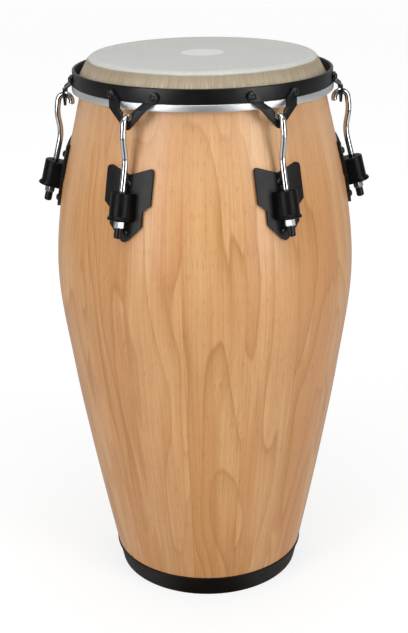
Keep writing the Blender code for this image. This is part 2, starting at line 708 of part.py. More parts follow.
def build():
    clear_scene()
    wood = finish("natural_wood", (201, 151, 106), 0.32)
    rubber = finish("black_rubber", (24, 24, 24), 0.7)
    skin = finish("drumhead_skin", (203, 203, 200), 0.55)
    powder = finish("black_powder_coat", (28, 28, 30), 0.35)
    chrome = finish("chrome", (205, 205, 210), 0.12, 1.0)
    brushed = finish("brushed_aluminium", (200, 202, 206), 0.3, 1.0)
    zinc = finish("zinc_plate", (168, 170, 172), 0.4, 1.0)
    moulded = finish("moulded_cap", (20, 20, 22), 0.5)

    shell = add_object("shell", shell_mesh(), wood)
    combine(shell, "DIFFERENCE", cutter("bolt_hole_cutter", bolt_holes("bolt_holes", LUG_FRAMES)))
    add_object("foot_ring", foot_ring_mesh(), rubber)
    add_object("drumhead", drumhead_mesh(), skin)
    add_object("flesh_hoop", flesh_hoop_mesh(), brushed)
    rim = add_object("rim", rim_mesh(), powder)
    hole = drill(RIVET_RADIUS + RIVET_CLEARANCE, -REACH, REACH)
    places = [place for lug in LUG_FRAMES for place in rivet_places(lug)]
    rivet_holes = mesh_from("rivet_holes", gather(hole, places))
    combine(rim, "DIFFERENCE", cutter("rivet_hole_cutter", rivet_holes))

    bolt = button_screw(BOLT_HEAD_RADIUS, BOLT_HEAD_HEIGHT, BOLT_RADIUS,
                        weld_nut_end() + BOLT_TAIL)
    in_lug_frame = [("rim_strap", strap_mesh(), powder),
                    ("side_plate", side_plate_mesh(), powder),
                    ("backing_plate", backing_plate_mesh(), zinc)]
    in_rod_frame = [("lug_housing", housing_mesh(), powder), ("tuning_hook", hook_curve(), chrome),
                    ("tuning_nut", nut_mesh(), chrome), ("nut_cap", cap_mesh(), moulded)]
    bolt_mesh = mesh_from("plate_bolt", bolt)
    bolt_mesh.materials.append(zinc)
    for _, data, material in in_lug_frame + in_rod_frame:
        data.materials.append(material)
    for number, frame in enumerate(LUG_FRAMES, start=1):
        lug = add_empty(f"lug_frame_{number}", frame)
        rod = add_empty(f"rod_frame_{number}", ROD_FRAME, lug)
        for parent, items in ((lug, in_lug_frame), (rod, in_rod_frame)):
            for name, data, _ in items:
                add_object(f"{name}_{number}", data, None, parent)
        for level, place in zip(("upper", "lower"), bolt_places(Matrix())):
            screw = add_object(f"plate_bolt_{level}_{number}", bolt_mesh, None, lug)
            screw.matrix_local = place


build()
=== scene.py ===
# %% [markdown]
# A tumba is the widest drum of a conga set: a barrel of glued staves, a skin pulled over its upper
# edge by a rim, and six hooked rods that draw the rim down. The frame gives every piece its real
# size and place. This script gives each piece its finished surface, then a plain studio round it.

# %% Load the frame
import math

import bmesh
import bpy
import numpy as np
from mathutils import Matrix, Vector


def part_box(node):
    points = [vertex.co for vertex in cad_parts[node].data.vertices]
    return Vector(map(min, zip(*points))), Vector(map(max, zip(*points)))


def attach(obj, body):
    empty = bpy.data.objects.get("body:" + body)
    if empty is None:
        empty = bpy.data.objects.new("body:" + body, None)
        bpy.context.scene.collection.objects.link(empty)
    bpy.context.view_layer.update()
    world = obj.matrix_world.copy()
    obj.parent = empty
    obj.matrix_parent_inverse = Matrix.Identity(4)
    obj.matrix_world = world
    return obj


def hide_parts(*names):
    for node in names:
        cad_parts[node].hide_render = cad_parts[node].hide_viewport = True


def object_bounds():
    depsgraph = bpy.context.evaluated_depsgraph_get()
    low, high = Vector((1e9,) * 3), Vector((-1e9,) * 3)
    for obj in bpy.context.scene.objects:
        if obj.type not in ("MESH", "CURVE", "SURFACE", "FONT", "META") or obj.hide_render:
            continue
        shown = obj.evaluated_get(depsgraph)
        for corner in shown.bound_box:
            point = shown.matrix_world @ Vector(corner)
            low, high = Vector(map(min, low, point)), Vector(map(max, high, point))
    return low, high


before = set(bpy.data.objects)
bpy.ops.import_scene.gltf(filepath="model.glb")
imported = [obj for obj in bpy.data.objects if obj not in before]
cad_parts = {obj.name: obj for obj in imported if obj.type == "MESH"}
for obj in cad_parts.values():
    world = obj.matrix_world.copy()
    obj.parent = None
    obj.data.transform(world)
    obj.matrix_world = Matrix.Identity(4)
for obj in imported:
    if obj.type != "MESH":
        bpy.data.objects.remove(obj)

CAD_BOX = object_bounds()

# %% [markdown]
# The drum's own sizes come first, in metres. They are the ones the solids were made from, so each
# fine surface lies on the solid that it stands for. Heights near the head hang from its top.

# %% Sizes of the drum
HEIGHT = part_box("drumhead")[1].z
LUGS = 6
GAP = 0.0003
SHELL_WALL = 0.011
STATIONS = np.array([(0.0, 0.133), (0.180, 0.1682), (0.330, 0.1928), (0.480, 0.2083),
                     (HEIGHT - 0.186, 0.1979), (HEIGHT - 0.086, 0.1751), (HEIGHT - 0.025, 0.1604)])
RING_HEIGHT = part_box("foot_ring")[1].z
RING_WALL = 0.0035
RING_FLOOR = 0.005
EDGE_CENTRE = np.array((0.1446, HEIGHT - 0.0129))
EDGE_ROUND = 0.011
SKIN = 0.0016
RIM_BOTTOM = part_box("rim")[0].z
RIM_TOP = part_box("rim")[1].z
RIM_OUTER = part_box("rim")[1].x
RIM_WALL = 0.0038
HOOP_WIDTH = 0.0102
HOOP_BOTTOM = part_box("flesh_hoop")[0].z
HOOP_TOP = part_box("flesh_hoop")[1].z
HOOP_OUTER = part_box("flesh_hoop")[1].x
GROOVE_OUTER = RIM_OUTER - RIM_WALL - 0.0006
SKIN_EDGE = GROOVE_OUTER - GAP
GROOVE_DEPTH = 0.0068
SKIN_DEPTH = 0.0065
print(f"drum {HEIGHT * 1000:.0f} mm tall, rim {RIM_OUTER * 2000:.1f} mm across")

# %% [markdown]
# One smooth curve gives the barrel its side. Between two stations the radius follows a cubic whose
# slope at a station is the parabola's through its neighbours, so the wall never shows a corner.

# %% The barrel's curve
def shell_radius(height):
    """Outer radius at each height: a cubic between stations, r = sum of Hermite weights times
    the end radii and the end slopes."""
    z, r = STATIONS.T
    span = np.diff(z)
    rise = np.diff(r) / span
    inner = (span[1:] * rise[:-1] + span[:-1] * rise[1:]) / (span[1:] + span[:-1])
    slope = np.concatenate([[2 * rise[0] - inner[0]], inner, [2 * rise[-1] - inner[-1]]])
    height = np.asarray(height, float)
    k = np.clip(np.searchsorted(z, height, side="right") - 1, 0, len(span) - 1)
    t = (height - z[k]) / span[k]
    return ((2 * t ** 3 - 3 * t ** 2 + 1) * r[k] + (t ** 3 - 2 * t ** 2 + t) * span[k] * slope[k]
            + (3 * t ** 2 - 2 * t ** 3) * r[k + 1] + (t ** 3 - t ** 2) * span[k] * slope[k + 1])


print("belly radius", float(shell_radius(0.48)))

# %% [markdown]
# Every new piece is a grid of points: one parameter runs along a row, the other from row to row.
# Where the grid closes on itself, or meets in a pole, the doubled points are merged, and the faces
# are turned to look out.

# %% From a grid of points to a piece
def grid_mesh(name, points, close_u=True, close_v=True, sharp=40.0):
    """points[i, j] is the place at the two parameters; each quad joins (i, j), (i+1, j),
    (i+1, j+1) and (i, j+1), counted round where that way is closed."""
    points = np.asarray(points, float)
    count_u, count_v = points.shape[:2]
    index = np.arange(count_u * count_v).reshape(count_u, count_v)
    rows = np.arange(count_u if close_u else count_u - 1)[:, None]
    columns = np.arange(count_v if close_v else count_v - 1)[None, :]
    after_row = (rows + 1) % count_u
    after_column = (columns + 1) % count_v
    quads = np.stack([index[rows, columns], index[after_row, columns],
                      index[after_row, after_column], index[rows, after_column]], -1)
    mesh = bpy.data.meshes.new(name)
    mesh.from_pydata(points.reshape(-1, 3).tolist(), [], quads.reshape(-1, 4).tolist())
    return tidy_mesh(mesh, sharp)


def tidy_mesh(mesh, sharp):
    """Merges doubled points, closes flat ends, turns the faces out and shades gentle edges."""
    shape = bmesh.new()
    shape.from_mesh(mesh)
    bmesh.ops.remove_doubles(shape, verts=shape.verts[:], dist=1e-6)
    bmesh.ops.dissolve_degenerate(shape, edges=shape.edges[:], dist=1e-7)
    ends = [edge for edge in shape.edges if edge.is_boundary]
    bmesh.ops.holes_fill(shape, edges=ends, sides=0)
    bmesh.ops.recalc_face_normals(shape, faces=shape.faces[:])
    if shape.calc_volume(signed=True) < 0:
        bmesh.ops.reverse_faces(shape, faces=shape.faces[:])
    shape.to_mesh(mesh)
    shape.free()
    mesh.shade_smooth()
    mesh.set_sharp_from_angle(angle=math.radians(sharp))
    return mesh


def place_piece(name, mesh, materials, body, slot, *nodes):
    """The mesh as a piece that rides on a body and stands for the nodes named. A face's material
    index counts in the list of materials."""
    piece = bpy.data.objects.new(name, mesh)
    bpy.context.scene.collection.objects.link(piece)
    chosen = np.zeros(len(mesh.polygons), dtype=np.int32)
    mesh.polygons.foreach_get("material_index", chosen)
    mesh.materials.clear()
    for material in materials:
        mesh.materials.append(material)
    mesh.polygons.foreach_set("material_index", np.minimum(chosen, len(materials) - 1))
    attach(piece, body)
    if nodes:
        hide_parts(*nodes)
    return piece


def turned(profile, steps=192):
    """Grid of a (radius, height) profile carried round +Z: x = r cos a, y = r sin a, z = height."""
    profile = np.asarray(profile, float)
    angle = np.linspace(0, 2 * np.pi, steps, endpoint=False)[:, None]
    radius, height = profile[None, :, 0], profile[None, :, 1]
    return np.stack([radius * np.cos(angle), radius * np.sin(angle),
                     height + 0 * angle], -1)


def arc(centre, radius, start, end, count):
    """Points on an arc in the (radius, height) plane; angles in degrees."""
    angle = np.radians(np.linspace(start, end, count))
    return np.stack([centre[0] + radius * np.cos(angle), centre[1] + radius * np.sin(angle)], -1)


def rounded(corners, steps=6, closed=True):
    """Outline through (x, y, radius) corners, each replaced by the arc that touches both its
    sides: centre on the bisector at radius / sin(half the corner's angle)."""
    points = []
    count = len(corners)
    for index, (x, y, radius) in enumerate(corners):
        if radius == 0 or (not closed and index in (0, count - 1)):
            points.append((x, y))
            continue
        here = np.array((x, y))
        back = np.array(corners[index - 1][:2]) - here
        ahead = np.array(corners[(index + 1) % count][:2]) - here
        back = back / np.linalg.norm(back)
        ahead = ahead / np.linalg.norm(ahead)
        half = math.acos(np.clip(back @ ahead, -1, 1)) / 2
        middle = here + (back + ahead) / np.linalg.norm(back + ahead) * radius / math.sin(half)
        first = here + back * radius / math.tan(half) - middle
        last = here + ahead * radius / math.tan(half) - middle
        turn = math.atan2(first[0] * last[1] - first[1] * last[0], first @ last)
        for step in np.linspace(0, turn, steps + 1):
            c, s = math.cos(step), math.sin(step)
            points.append((middle[0] + c * first[0] - s * first[1],
                           middle[1] + s * first[0] + c * first[1]))
    return np.array(points)


LUG_TURNS = [Matrix.Rotation(math.tau * k / LUGS, 4, "Z") for k in range(LUGS)]
print("lugs every", 360 // LUGS, "degrees, the first on +X")

# %% [markdown]
# Materials are node trees. Small helpers keep them short: one adds a node with its values, the
# others do sums on sockets. Patterns read Object coordinates, which are metres in the drum's frame.

# %% Node helpers
def add(tree, kind, values=None, **settings):
    made = tree.nodes.new(kind)
    for key, value in settings.items():
        setattr(made, key, value)
    for key, value in (values or {}).items():
        if isinstance(value, bpy.types.NodeSocket):
            tree.links.new(value, made.inputs[key])
        else:
            made.inputs[key].default_value = value
    return made


def maths(tree, operation, first, second=0.0, third=0.0):
    return add(tree, "ShaderNodeMath", {0: first, 1: second, 2: third},
               operation=operation).outputs[0]


def remap(tree, value, low, high, to_low=0.0, to_high=1.0):
    return add(tree, "ShaderNodeMapRange", {"Value": value, "From Min": low, "From Max": high,
                                            "To Min": to_low, "To Max": to_high}).outputs[0]


def blend_colour(tree, share, first, second, mode="MIX"):
    mixed = add(tree, "ShaderNodeMix", data_type="RGBA", blend_type=mode)
    for socket, value in ((mixed.inputs[0], share), (mixed.inputs[6], first),
                          (mixed.inputs[7], second)):
        if isinstance(value, bpy.types.NodeSocket):
            tree.links.new(value, socket)
        else:
            socket.default_value = value
    return mixed.outputs[2]


def noise(tree, vector, scale, detail=2.0, roughness=0.5, distortion=0.0):
    return add(tree, "ShaderNodeTexNoise",
               {"Vector": vector, "Scale": scale, "Detail": detail, "Roughness": roughness,
                "Distortion": distortion}).outputs["Fac"]


def stretched(tree, vector, scale):
    return add(tree, "ShaderNodeMapping", {"Vector": vector, "Scale": scale}).outputs[0]


def display(red, green, blue):
    """Linear colour with alpha from display values of 0 to 255."""
    return (*[((value / 255 + 0.055) / 1.055) ** 2.4 for value in (red, green, blue)], 1.0)


def start_material(name, **fixed):
    """A material with its Principled shader; uniform values go straight on its sockets."""
    material = bpy.data.materials.new(name)
    material.use_nodes = True
    tree = material.node_tree
    shader = tree.nodes["Principled BSDF"]
    for key, value in fixed.items():
        shader.inputs[key.replace("_", " ")].default_value = value
    place = add(tree, "ShaderNodeTexCoord").outputs["Object"]
    return material, tree, shader, place


def set_input(tree, shader, name, socket):
    tree.links.new(socket, shader.inputs[name])


print("node helpers ready")

# %% [markdown]
# Two effects serve many finishes, so each is a group. The first is the fine peel that paint,
# lacquer and rubber leave, as a normal. The second drifts a colour lighter and darker in soft
# clouds, because nothing that was painted, cast or handled is one even colour.

# %% Shared groups
def new_group(name, inputs, outputs):
    group = bpy.data.node_groups.new(name, "ShaderNodeTree")
    for label, kind, value in inputs:
        socket = group.interface.new_socket(label, in_out="INPUT", socket_type=kind)
        if value is not None:
            socket.default_value = value
    for label, kind in outputs:
        group.interface.new_socket(label, in_out="OUTPUT", socket_type=kind)
    return group, group.nodes.new("NodeGroupInput"), group.nodes.new("NodeGroupOutput")


def peel_group():
    group, given, result = new_group(
        "surface peel",
        [("Vector", "NodeSocketVector", None), ("Scale", "NodeSocketFloat", 900.0),
         ("Depth", "NodeSocketFloat", 0.00002)],
        [("Normal", "NodeSocketVector")])
    bumps = noise(group, given.outputs["Vector"], given.outputs["Scale"], 3.0)
    bump = add(group, "ShaderNodeBump", {"Height": bumps, "Distance": given.outputs["Depth"],
                                         "Strength": 1.0})
    group.links.new(bump.outputs[0], result.inputs[0])
    return group


def drift_group():
    group, given, result = new_group(
        "colour drift",
        [("Color", "NodeSocketColor", None), ("Vector", "NodeSocketVector", None),
         ("Scale", "NodeSocketFloat", 20.0), ("Amount", "NodeSocketFloat", 0.1)],
        [("Color", "NodeSocketColor"), ("Mask", "NodeSocketFloat")])
    clouds = noise(group, given.outputs["Vector"], given.outputs["Scale"], 4.0, 0.6)
    centred = maths(group, "SUBTRACT", clouds, 0.5)
    gain = maths(group, "MULTIPLY_ADD", centred, maths(group, "MULTIPLY",
                                                       given.outputs["Amount"], 2.0), 1.0)
    scaled = add(group, "ShaderNodeVectorMath",
                 {0: given.outputs["Color"], "Scale": gain}, operation="SCALE")
    group.links.new(scaled.outputs[0], result.inputs[0])
    group.links.new(clouds, result.inputs[1])
    return group


PEEL = peel_group()
DRIFT = drift_group()


def peel(tree, place, scale, depth):
    made = add(tree, "ShaderNodeGroup", node_tree=PEEL)
    tree.links.new(place, made.inputs["Vector"])
    made.inputs["Scale"].default_value = scale
    made.inputs["Depth"].default_value = depth
    return made.outputs["Normal"]


def drift(tree, place, colour, scale, amount):
    made = add(tree, "ShaderNodeGroup", node_tree=DRIFT)
    tree.links.new(place, made.inputs["Vector"])
    made.inputs["Scale"].default_value = scale
    made.inputs["Amount"].default_value = amount
    if isinstance(colour, bpy.types.NodeSocket):
        tree.links.new(colour, made.inputs["Color"])
    else:
        made.inputs["Color"].default_value = colour
    return made.outputs["Color"], made.outputs["Mask"]


print("groups:", PEEL.name, "and", DRIFT.name)

# %% [markdown]
# The barrel is natural wood under satin lacquer. Its staves run from foot to head, and each was
# sawn from another board, so the grain jumps at every joint. The angle round the drum, cut into
# equal parts, gives the stave its number; a random value from that number shifts its tone and its
# grain. Slow noise, stretched along the stave, is read like a contour map: its level lines are the
# pointed arches that flat-sawn boards show. Zones of darker heart wood with a clear edge, streaks,
# fibres and pores follow, all along the stave. Towards the head a paler tone is painted on as
# painted light, standing for the light that the hoop throws down on the neck.

# %% Wood
STAVES = 16
GRAIN_RADIUS = 0.19
PALE_WOOD = display(222, 177, 124)
WARM_WOOD = display(218, 164, 115)
# Painted light: a paler tone for the neck, standing for light thrown down from the hoop
NECK_PAINTED_LIGHT = display(230, 190, 152)
HEART_WOOD = display(203, 143, 88)
STREAK_WOOD = display(198, 140, 88)
LATE_WOOD = display(182, 120, 64)
ARCH_LINE = display(150, 98, 52)
PORE_BROWN = display(146, 96, 54)
GLUE_BROWN = display(132, 88, 52)


def stave_coordinates(tree, place):
    """Share of the stave's width, its random value, and (way round, height, number) as a vector."""
    axes = add(tree, "ShaderNodeSeparateXYZ", {0: place}).outputs
    angle = maths(tree, "ARCTAN2", axes[1], axes[0])
    turns = maths(tree, "MULTIPLY_ADD", angle, STAVES / math.tau, STAVES * 0.5 + 0.37)
    number = maths(tree, "FLOOR", turns)
    share = maths(tree, "FRACT", turns)
    chance = add(tree, "ShaderNodeTexWhiteNoise", {"W": number}, noise_dimensions="1D")
    way = maths(tree, "MULTIPLY", angle, GRAIN_RADIUS)
    offset = maths(tree, "MULTIPLY", number, 3.7)
    vector = add(tree, "ShaderNodeCombineXYZ", {0: way, 1: axes[2], 2: offset}).outputs[0]
    return share, chance.outputs["Value"], vector


def wood_material():
    material, tree, shader, place = start_material(
        "satin_wood", Roughness=0.36, Coat_Weight=0.12, Coat_Roughness=0.24,
        Specular_IOR_Level=0.3)
    share, chance, vector = stave_coordinates(tree, place)
    # Arches: level lines of slow stretched noise, tilted by a slope of the stave's own
    levels = noise(tree, stretched(tree, vector, (10.0, 1.6, 1.0)), 1.0, 2.5, 0.42, 0.45)
    across = maths(tree, "MULTIPLY", share, maths(tree, "SUBTRACT", chance, 0.5))
    contour = maths(tree, "MULTIPLY_ADD", levels, 10.0, maths(tree, "MULTIPLY", across, 3.0))
    phase = maths(tree, "FRACT", contour)
    late = maths(tree, "POWER", phase, 3.0)
    fade = remap(tree, phase, 0.93, 1.0, 1.0, 0.0)
    rings = maths(tree, "MULTIPLY", late, fade)
    calm = noise(tree, stretched(tree, vector, (6.0, 2.2, 1.0)), 1.0, 2.0)
    figured = remap(tree, calm, 0.36, 0.6, 0.26, 0.70)
    line = maths(tree, "MULTIPLY", remap(tree, phase, 0.86, 0.93, 0.0, 0.25), fade)
    # Heart wood: broad zones with a clear edge, stronger towards the foot
    height = add(tree, "ShaderNodeSeparateXYZ", {0: place}).outputs[2]
    zones = noise(tree, stretched(tree, vector, (12.0, 1.6, 1.0)), 1.0, 3.0, 0.5, 0.8)
    heart = remap(tree, zones, 0.50, 0.53)
    heart = maths(tree, "MULTIPLY", heart, remap(tree, height, 0.05, 0.66, 0.62, 0.28))
    # Streaks, fibres and pores run along the stave
    streaks = noise(tree, stretched(tree, vector, (150.0, 2.4, 1.0)), 1.0, 3.0, 0.7)
    fibres = noise(tree, stretched(tree, vector, (430.0, 6.0, 1.0)), 1.0, 4.0, 0.65)
    pores = noise(tree, stretched(tree, vector, (1100.0, 65.0, 1.0)), 1.0, 1.0)
    pore_mask = remap(tree, pores, 0.62, 0.70)
    clouds = noise(tree, stretched(tree, vector, (14.0, 4.0, 1.0)), 1.0, 3.0, 0.55)
    tone = maths(tree, "MULTIPLY_ADD", remap(tree, clouds, 0.35, 0.65), 0.6,
                 maths(tree, "MULTIPLY", chance, 0.4))
    base = blend_colour(tree, tone, PALE_WOOD, WARM_WOOD)
    base = blend_colour(tree, heart, base, HEART_WOOD)
    base = blend_colour(tree, remap(tree, streaks, 0.46, 0.60, 0.0, 0.22), base, STREAK_WOOD)
    base = blend_colour(tree, maths(tree, "MULTIPLY", rings, figured), base, LATE_WOOD)
    base = blend_colour(tree, maths(tree, "MULTIPLY", line, figured), base, ARCH_LINE)
    base = blend_colour(tree, remap(tree, fibres, 0.38, 0.68, 0.0, 0.36), base, LATE_WOOD)
    # Painted light: the wood is made paler towards the head, for light thrown down from the hoop
    neck = remap(tree, height, 0.60, 0.72, 0.0, 0.40)
    base = blend_colour(tree, neck, base, NECK_PAINTED_LIGHT)
    base = blend_colour(tree, maths(tree, "MULTIPLY", pore_mask, 0.32), base, PORE_BROWN)
    # A hair line of glue shows at each joint
    side = maths(tree, "PINGPONG", share, 0.5)
    joint = remap(tree, side, 0.0, 0.010, 0.18, 0.0)
    base = blend_colour(tree, joint, base, GLUE_BROWN)
    colour, _ = drift(tree, place, base, 7.0, 0.07)
    set_input(tree, shader, "Base Color", colour)
    set_input(tree, shader, "Roughness", remap(tree, fibres, 0.3, 0.8, 0.28, 0.42))
    relief = maths(tree, "SUBTRACT", maths(tree, "MULTIPLY", fibres, 0.35),
                   maths(tree, "ADD", pore_mask, maths(tree, "MULTIPLY", joint, 1.5)))
    bump = add(tree, "ShaderNodeBump", {"Height": relief, "Distance": 0.00004})
    set_input(tree, shader, "Normal", bump.outputs[0])
    return material


WOOD = wood_material()
print("wood with", STAVES, "staves")

# %% [markdown]
# Rubber, paint, castings and moulded plastic are all nearly black; what tells them apart is how they
# shine. Rubber scatters, powder coat has a fine peel with a soft gloss, and moulded plastic is
# smoother. Dust and handling make each a little uneven. The plates' paint is a shade lighter.

# %% Black finishes
def black_material(name, colour, low, high, scale, depth, drift_scale, gloss=0.3):
    material, tree, shader, place = start_material(name, Roughness=high, Specular_IOR_Level=gloss)
    shade, mask = drift(tree, place, colour, drift_scale, 0.25)
    set_input(tree, shader, "Base Color", shade)
    set_input(tree, shader, "Roughness", remap(tree, mask, 0.3, 0.7, low, high))
    set_input(tree, shader, "Normal", peel(tree, place, scale, depth))
    return material


RUBBER = black_material("moulded_rubber", display(20, 15, 12), 0.46, 0.62, 420.0, 0.00005, 60.0,
                        0.25)
POWDER = black_material("powder_coat", display(13, 13, 14), 0.30, 0.42, 1500.0, 0.00003, 45.0)
PLATE = black_material("plate_paint", display(30, 28, 28), 0.34, 0.46, 1500.0, 0.00003, 45.0, 0.22)
CAST = black_material("cast_housing", display(9, 9, 10), 0.34, 0.46, 1100.0, 0.00003, 60.0, 0.14)
OXIDE = black_material("black_oxide", display(24, 24, 26), 0.24, 0.36, 1200.0, 0.00001, 300.0,
                       0.5)
PLASTIC = black_material("moulded_cap", display(16, 16, 17), 0.30, 0.44, 900.0, 0.00002, 200.0)
print("six black finishes")

# %% [markdown]
# Bright metal needs little colour and much roughness detail. The hooks are chromed, with faint hazy
# patches, and the nuts have a duller chrome. The flesh hoop is aluminium, brushed round its length:
# noise stretched along the angle and packed tight in height. The backing plates are zinc plated.

# %% Bright metals
def chrome_material(name, tone, low, high):
    material, tree, shader, place = start_material(name, Metallic=1.0, Roughness=low)
    colour, mask = drift(tree, place, display(tone, tone + 1, tone + 4), 90.0, 0.05)
    set_input(tree, shader, "Base Color", colour)
    set_input(tree, shader, "Roughness", remap(tree, mask, 0.35, 0.75, low, high))
    return material


def brushed_material(name, colour, low, high):
    material, tree, shader, place = start_material(name, Metallic=1.0, Roughness=high)
    axes = add(tree, "ShaderNodeSeparateXYZ", {0: place}).outputs
    angle = maths(tree, "ARCTAN2", axes[1], axes[0])
    radius = add(tree, "ShaderNodeVectorMath", {0: place}, operation="LENGTH").outputs["Value"]
    vector = add(tree, "ShaderNodeCombineXYZ", {0: angle, 1: axes[2], 2: radius}).outputs[0]
    strokes = noise(tree, stretched(tree, vector, (6.0, 2600.0, 2600.0)), 1.0, 3.0, 0.6)
    shade, _ = drift(tree, place, colour, 30.0, 0.06)
    streaked = blend_colour(tree, remap(tree, strokes, 0.3, 0.7, 0.0, 0.25), shade,
                            display(150, 151, 154))
    set_input(tree, shader, "Base Color", streaked)
    set_input(tree, shader, "Roughness", remap(tree, strokes, 0.3, 0.7, low, high))
    bump = add(tree, "ShaderNodeBump", {"Height": strokes, "Distance": 0.000008})
    set_input(tree, shader, "Normal", bump.outputs[0])
    return material


CHROME = chrome_material("chrome", 208, 0.06, 0.16)
NUT_CHROME = chrome_material("nut_chrome", 166, 0.22, 0.34)
ALUMINIUM = brushed_material("brushed_aluminium", display(240, 241, 243), 0.34, 0.50)
ZINC = brushed_material("zinc_plate", display(178, 180, 184), 0.35, 0.5)
print("chrome, aluminium and zinc")

# %% [markdown]
# The head is grey where the hand plays, and tan on the collar that runs down to the hoop. The
# change follows the radius. Fine fibres criss-cross the whole skin, and a plain pale disc marks
# its middle.

# %% Skin
DISC_RADIUS = 0.029


def skin_material():
    material, tree, shader, place = start_material("drum_skin", Roughness=0.55)
    axes = add(tree, "ShaderNodeSeparateXYZ", {0: place}).outputs
    flat = add(tree, "ShaderNodeCombineXYZ", {0: axes[0], 1: axes[1]}).outputs[0]
    radius = add(tree, "ShaderNodeVectorMath", {0: flat}, operation="LENGTH").outputs["Value"]
    angle = maths(tree, "ARCTAN2", axes[1], axes[0])
    wobble = noise(tree, place, 26.0, 3.0, 0.6)
    edge = maths(tree, "MULTIPLY_ADD", wobble, 0.0020, radius)
    collar = remap(tree, edge, 0.1549, 0.1561)
    grey = display(197, 198, 193)
    tan = display(180, 163, 138)
    fibres = noise(tree, stretched(tree, place, (160.0, 420.0, 160.0)), 1.0, 4.0, 0.65)
    cross = noise(tree, stretched(tree, place, (480.0, 130.0, 130.0)), 1.0, 4.0, 0.65)
    weave = maths(tree, "MULTIPLY", maths(tree, "ADD", fibres, cross), 0.5)
    top = blend_colour(tree, remap(tree, weave, 0.40, 0.62, 0.0, 0.35), grey,
                       display(180, 180, 176))
    disc = remap(tree, radius, DISC_RADIUS - 0.0006, DISC_RADIUS, 0.55, 0.0)
    top = blend_colour(tree, disc, top, display(232, 232, 230))
    around = add(tree, "ShaderNodeCombineXYZ", {0: angle, 1: axes[2]}).outputs[0]
    creases = noise(tree, stretched(tree, around, (46.0, 26.0, 1.0)), 1.0, 3.0, 0.62)
    side = blend_colour(tree, remap(tree, creases, 0.42, 0.68, 0.0, 0.55), tan,
                        display(150, 133, 106))
    lines = noise(tree, stretched(tree, around, (120.0, 14.0, 1.0)), 1.0, 2.0, 0.5)
    near_rim = remap(tree, radius, 0.1580, 0.1640)
    pale_lines = maths(tree, "MULTIPLY", remap(tree, lines, 0.55, 0.63, 0.0, 0.8), near_rim)
    side = blend_colour(tree, pale_lines, side, display(214, 203, 184))
    both = blend_colour(tree, collar, top, side)
    brink = maths(tree, "MULTIPLY", remap(tree, edge, 0.1545, 0.1555),
                  remap(tree, edge, 0.1557, 0.1625, 0.55, 0.0))
    both = blend_colour(tree, brink, both, display(132, 120, 98))
    colour, _ = drift(tree, place, both, 18.0, 0.05)
    set_input(tree, shader, "Base Color", colour)
    set_input(tree, shader, "Roughness", remap(tree, weave, 0.35, 0.65, 0.46, 0.62))
    height = maths(tree, "MULTIPLY_ADD", maths(tree, "MULTIPLY", creases, collar), 4.0, weave)
    bump = add(tree, "ShaderNodeBump", {"Height": height, "Distance": 0.00008})
    set_input(tree, shader, "Normal", bump.outputs[0])
    return material


SKIN_FINISH = skin_material()
print("skin")

# %% [markdown]
# The shell is one closed profile turned round the axis: over the rounded bearing edge, down the
# outside, round the rebate for the foot ring, and up the inside. Two hundred steps keep its
# outline round at any size of picture.

# %% The shell
ROUND_STEPS = 200


def shell_outline():
    """(radius, height) points: outer cubic, rebate one ring wall deep, inner wall parallel."""
    neck = STATIONS[-1, 0]
    outer_z = np.linspace(neck, RING_HEIGHT + GAP, 110)
    outside = np.stack([np.minimum(shell_radius(outer_z), CAD_BOX[1][1]), outer_z], -1)
    rebate_z = np.array((RING_HEIGHT + GAP, RING_FLOOR + GAP))
    rebate = np.stack([shell_radius(rebate_z) - RING_WALL - GAP, rebate_z], -1)
    inner_z = np.linspace(RING_FLOOR + GAP, neck, 40)
    inside = np.stack([shell_radius(inner_z) - SHELL_WALL, inner_z], -1)
    crest = EDGE_CENTRE + np.array((-0.001, 0.8 * EDGE_ROUND))
    return np.concatenate([arc(EDGE_CENTRE, EDGE_ROUND, 90, 19, 9), outside, rebate, inside,
                           [crest]])


shell_mesh = grid_mesh("shell_surface", turned(shell_outline(), ROUND_STEPS))
shell = place_piece("shell_surface", shell_mesh, [WOOD], "drum", "wood", "shell")
print("shell:", len(shell.data.polygons), "faces")

# %% [markdown]
# The foot ring is moulded rubber pressed on the shell's end. Its outer face follows the shell, with
# a small lip at the top and rounded edges below, and a shallow groove where the mould parted.

# %% The foot ring
RING_LIP = 0.0012
RING_LIP_HEIGHT = 0.0034


def foot_ring_outline():
    """Closed (radius, height) outline: lip, outer face with a shallow groove, floor, inner wall."""
    top = RING_HEIGHT
    face = float(shell_radius(top))
    toe = float(shell_radius(0.0))
    corners = [(face + RING_LIP, top, 0.0006),
               (face + RING_LIP * 0.9, top - RING_LIP_HEIGHT, 0.0005),
               (face - 0.0006, top - RING_LIP_HEIGHT - 0.0006, 0.0003), (toe, 0.0, 0.0016),
               (toe - SHELL_WALL, 0.0, 0.0008),
               (float(shell_radius(RING_FLOOR)) - SHELL_WALL, RING_FLOOR, 0),
               (float(shell_radius(RING_FLOOR)) - RING_WALL, RING_FLOOR, 0),
               (face - RING_WALL, top, 0)]
    return rounded(corners, 4)


ring_mesh = grid_mesh("foot_ring_surface", turned(foot_ring_outline(), ROUND_STEPS))
place_piece("foot_ring_surface", ring_mesh, [RUBBER], "drum", "rubber", "foot_ring")
print("foot ring:", round(RING_HEIGHT * 1000, 1), "mm tall")

# %% [markdown]
# The head is a membrane of even thickness: flat, then round over the bearing edge, then down the
# collar into the hoop. Tension gathers it into fine vertical creases on the collar. They are sums
# of sines round the drum, faded in below the edge and out above the hoop.

# %% The drumhead
CREASE_DEPTH = 0.00035
CREASE_WAVES = ((61, 0.4, 0.30), (97, 2.1, 0.25), (143, 4.4, 0.20), (211, 1.3, 0.15),
                (38, 5.2, 0.25))


def tangent_angle(centre, radius, point):
    """Degrees on the circle where the straight line from the point touches its upper side."""
    across = np.asarray(point) - np.asarray(centre)
    return math.degrees(math.atan2(across[1], across[0]) + math.acos(radius / np.hypot(*across)))


